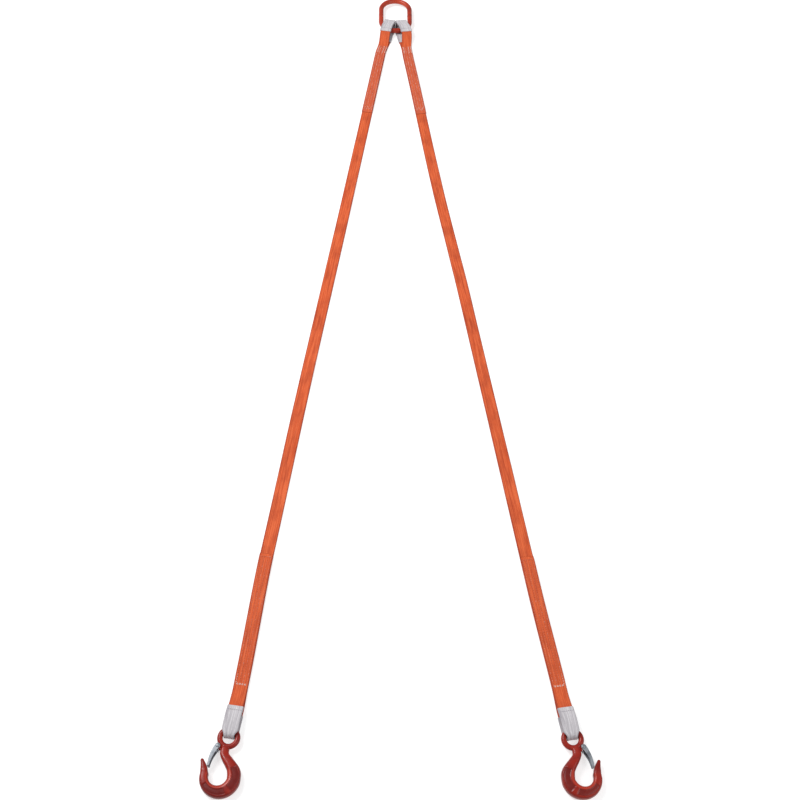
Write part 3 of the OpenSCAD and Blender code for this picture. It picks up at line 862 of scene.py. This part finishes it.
def hook_shape():
    """Left hook about its eye centre, mouth to -X: points, faces, painted shade values and paler
    paint values.
    """
    stations = hook_stations()
    around = 40
    turn = 2 * np.pi * np.arange(around) / around
    along = np.sign(np.cos(turn)) * np.abs(np.cos(turn)) ** 0.66
    up = np.sign(np.sin(turn)) * np.abs(np.sin(turn)) ** 0.66
    body = []
    for s in stations:
        mid = (s[0:2] + s[2:4]) / 2
        half = (s[2:4] - s[0:2]) / 2
        # the section is thickest near the bearing side and draws in towards the back
        draw = 1 - 0.10 * (along + 1) / 2
        flat = mid + along[:, None] * half
        body += [(x, y, z) for (x, y), z in zip(flat, up * draw * s[4] * HOOK_T / 2)]
    ring = [(EYE_R + EYE_BAR / 2 * math.cos(t), EYE_BAR / 2 * math.sin(t))
            for t in 2 * np.pi * np.arange(28) / 28]
    lug = [(PIVOT[0] + 4.2 * math.cos(a), PIVOT[1] + 4.2 * math.sin(a))
           for a in np.radians(np.arange(120, 286, 11))]
    lug += [(-5, -24), (-2, -20), (-7, -13.5)]
    count = len(lug)
    block = [(x, y, -3.2) for x, y in lug] + [(x, y, 3.2) for x, y in lug]
    block_faces = [(k, (k + 1) % count, count + (k + 1) % count, count + k) for k in range(count)]
    block_faces += [tuple(range(count)), tuple(range(2 * count - 1, count - 1, -1))]
    points, faces = gather_parts([(body, tube_faces(len(stations), around)),
                                  lathe(ring, 72), (block, block_faces)])
    co, quads = fused(points, faces, 0.55, 3)
    # forged panels sunk into both faces, left blank
    dx, dy = co[:, 0] - BOWL_IN[0], co[:, 1] - BOWL_IN[1]
    r = np.hypot(dx, dy)
    a = np.degrees(np.arctan2(dy, dx))
    a = np.where(a > 90, a - 360, a)
    c, s = np.cos(np.radians(a)), np.sin(np.radians(a))
    ox, oy = BOWL_IN[0] - BOWL_OUT[0], BOWL_IN[1] - BOWL_OUT[1]
    dot = c * ox + s * oy
    outer = -dot + np.sqrt(np.maximum(dot ** 2 - ox ** 2 - oy ** 2 + BOWL_OUT[2] ** 2, 1))
    t = (r - BOWL_IN[2]) / (outer - BOWL_IN[2])
    back = band(t, 0.36, 0.86, 0.10) * band(a, *BACK_PANEL, 6)
    bottom = band(t, 0.34, 0.82, 0.10) * band(a, *BOTTOM_PANEL, 6)
    sunk = np.maximum(back, bottom) * (np.abs(co[:, 2]) > 3)
    co[:, 2] -= np.sign(co[:, 2]) * PANEL_DEPTH * sunk
    # painted highlight: paler paint along the edges of the bearing side
    rim = band(t, 0.02, 0.30, 0.12) * band(a, -185, 45, 20)
    worn = 0.75 * rim * ease((np.abs(co[:, 2]) - 5) / 4)
    eye = np.hypot(co[:, 0], co[:, 1])
    # paler paint round the upper part of the eye, where the webbing rubs
    worn = np.maximum(worn, 0.5 * band(eye, 9, 13, 2) * (co[:, 1] > -8))
    edge = band(t, 0.88, 1.05, 0.06) * (np.abs(co[:, 2]) < 8.5)
    # painted shade: darker in the sunk panels and along the outer rim of the bowl
    hollow = np.clip(0.85 * sunk + 0.35 * edge, 0, 1)
    return co, quads, hollow, worn


def latch_middle(t):
    """Point of the latch's bowed middle line, 0 at the rivet and 1 at the tip."""
    ahead = LATCH_TIP - PIVOT
    bulge = np.array((ahead[1], -ahead[0])) / np.linalg.norm(ahead)
    return PIVOT + ahead * t + bulge * LATCH_BULGE * 4 * t * (1 - t)


def latch_across(t):
    """Direction across the latch at that point."""
    ahead = latch_middle(t + 0.01) - latch_middle(t - 0.01)
    return np.array((ahead[1], -ahead[0])) / np.linalg.norm(ahead)


def channel(half, gap, wall, corner):
    """Outline of a pressed channel: across the latch, and along the rivet."""
    z = gap + wall
    arc = np.radians(np.linspace(0, 90, 5))
    outer = [(-half, z)] + [(half - corner + corner * math.sin(b),
                             z - corner + corner * math.cos(b)) for b in arc]
    outer += [(x, -y) for x, y in outer[::-1]]
    small = max(corner - wall, 0.25)
    inner = [(-half, gap)] + [(half - wall - small + small * math.sin(b),
                               gap - small + small * math.cos(b)) for b in arc]
    inner += [(x, -y) for x, y in inner[::-1]]
    return outer + inner[::-1]


def latch_shape():
    """Pressed latch of the left hook, in the hook's plane."""
    body = []
    steps = np.linspace(0.15, 1, 30)
    for t in steps:
        half = mix(*LATCH_HALF, t)
        middle, side = latch_middle(t), latch_across(t)
        pinch = mix(1.0, 0.86, ease((t - 0.35) / 0.65))
        for x, z in channel(half, LATCH_GAP, LATCH_WALL, 1.5 if half > 2.2 else 1.2):
            flat = middle + side * x
            body.append((flat[0], flat[1], z * pinch))
    size = len(body) // len(steps)
    parts = [(body, tube_faces(len(steps), size))]
    for way in (-1, 1):
        low, high = LATCH_GAP, LATCH_GAP + LATCH_WALL
        hole, rim = RIVET_R + 0.06, LATCH_HALF[0]
        ring, quads = lathe([(hole, low), (rim, low), (rim, high), (hole, high)], 40)
        parts.append(([(x + PIVOT[0], y + PIVOT[1], z * way) for x, y, z in ring], quads))
        plate = []
        for t in (0.075, 0.12, 0.17, 0.22):
            half = mix(*LATCH_HALF, t)
            for x in (-half, half):
                flat = latch_middle(t) + latch_across(t) * x
                plate += [(flat[0], flat[1], way * low), (flat[0], flat[1], way * high)]
        cells = [[plate[i + k] for k in (0, 1, 3, 2)] for i in range(0, len(plate), 4)]
        parts.append(([p for cell in cells for p in cell], tube_faces(4, 4)))
    points, faces = gather_parts(parts)
    return fused(points, faces, 0.36, 2)


def spring_shape():
    """Two coils on the rivet, each with a leg on the hook and a leg in the latch."""
    parts = []
    for way in (-1, 1):
        turns = np.arange(0, 2 * COIL_STEPS + 1)
        angle = 2 * np.pi * turns / COIL_STEPS
        height = 3.65 + 1.6 * turns / (2 * COIL_STEPS)
        coil = np.c_[COIL_R * np.cos(angle), COIL_R * np.sin(angle), height]
        path = np.r_[[(3.3, -9, 3.65)], [(3.2, -4.5, 3.65)], coil, [(2.1, 4, 5.25)]]
        path = path * (1, 1, way) + (PIVOT[0], PIVOT[1], 0)
        ahead = np.gradient(path, axis=0)
        ahead /= np.linalg.norm(ahead, axis=1)[:, None]
        side = np.cross(ahead, (0, 0, 1.0))
        side /= np.linalg.norm(side, axis=1)[:, None]
        up = np.cross(side, ahead)
        turn = 2 * np.pi * np.arange(12) / 12
        ring = path[:, None] + WIRE_R * (np.cos(turn)[None, :, None] * side[:, None]
                                         + np.sin(turn)[None, :, None] * up[:, None])
        parts.append((ring.reshape(-1, 3), tube_faces(len(path), 12)))
    return gather_parts(parts)


def rivet_shape():
    """Shank with a domed head on each cheek."""
    seat = LATCH_GAP + LATCH_WALL
    dome = [(HEAD_R * math.sin(b) ** 0.8, seat + 0.25 + 0.95 * math.cos(b))
            for b in np.radians((6, 25, 45, 62, 78, 90))]
    half = dome + [(HEAD_R, seat + 0.02), (RIVET_R, seat + 0.02)]
    outline = half + [(r, -z) for r, z in half[::-1]]
    points, faces = lathe(outline, 40)
    faces = [f for f in faces if not ({f[0] % len(outline), f[1] % len(outline)}
                                      == {0, len(outline) - 1})]
    cap = [tuple(k * len(outline) for k in range(40)),
           tuple(k * len(outline) + len(outline) - 1 for k in range(39, -1, -1))]
    points = [(x + PIVOT[0], y + PIVOT[1], z) for x, y, z in points]
    return points, faces + cap


def place_on_hook(leg, points):
    """Hook millimetres to the row frame; the right hook is the left one mirrored."""
    eye = np.array(JOINTS[leg.name + "_hook_swing"]["pos_m"], float)
    points = np.asarray(points, float) * MM * (-leg.side, 1, 1)
    angle = leg.side * HOOK_TURN
    c, s = math.cos(angle), math.sin(angle)
    turned = np.c_[c * points[:, 0] - s * points[:, 1], s * points[:, 0] + c * points[:, 1],
                   points[:, 2]]
    return turned + eye


def make_hooks():
    co, quads, hollow, worn = hook_shape()
    latch_points, latch_quads = latch_shape()
    spring_points, spring_quads = spring_shape()
    rivet_points, rivet_quads = rivet_shape()
    for leg in LEGS:
        n = leg.name
        hook = mesh_object(n + "_forged_hook", place_on_hook(leg, co), quads, None, PAINT, 70)
        set_values(hook, "hollow", hollow)
        set_values(hook, "worn", worn)
        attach(hook, n + "_hook")
        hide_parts(n + "_hook")
        latch = mesh_object(n + "_pressed_latch", place_on_hook(leg, latch_points), latch_quads,
                            None, ZINC, 60)
        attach(latch, n + "_latch")
        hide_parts(n + "_latch")
        rivet = mesh_object(n + "_domed_rivet", place_on_hook(leg, rivet_points), rivet_quads,
                            None, ZINC, 35)
        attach(rivet, n + "_hook")
        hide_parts(n + "_latch_rivet")
        spring = mesh_object(n + "_torsion_spring", place_on_hook(leg, spring_points),
                             spring_quads, None, SPRING, 60)
        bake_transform(spring)
        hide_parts(n + "_latch_spring")


make_hooks()


# ---------------------------------------------------------------- stage
def make_stage():
    half = 9
    floor = mesh_object("floor", [(-half, -half, 0), (half, -half, 0), (half, half, 0),
                                  (-half, half, 0)], [(0, 1, 2, 3)])
    s = Shader("floor_paper", 0.9, Specular_IOR_Level=0.1, Emission_Strength=0.62)
    s.out.inputs["Emission Color"].default_value = (1.0, 1.0, 1.0, 1.0)
    tone = s.noise(s.place(), 3.0, 2.0)
    s.colour(s.blend(tone, (0.50, 0.50, 0.50), (0.53, 0.53, 0.53)))
    floor.data.materials.append(s.material)
    world = bpy.data.worlds.new("studio")
    bpy.context.scene.world = world
    world.use_nodes = True
    tree = world.node_tree
    back = tree.nodes["Background"]
    back.inputs["Color"].default_value = (0.97, 0.985, 1.0, 1.0)
    back.inputs["Strength"].default_value = 0.46
    for name, place, aim, size, power in (
            ("key", (-1.8, 0.7, 2.6), (0, -0.1, 0), 1.7, 100.0),
            ("fill", (2.1, -1.4, 2.5), (0, -0.2, 0), 2.2, 34.0)):
        data = bpy.data.lights.new(name, "AREA")
        data.shape = "DISK"
        data.size = size
        data.energy = power
        lamp = bpy.data.objects.new(name, data)
        bpy.context.scene.collection.objects.link(lamp)
        lamp.location = place
        away = Vector(place) - Vector(aim)
        lamp.rotation_euler = away.to_track_quat("Z", "Y").to_euler()
    view = bpy.context.scene.view_settings
    view.view_transform = "Standard"
    view.look = "None"


make_stage()
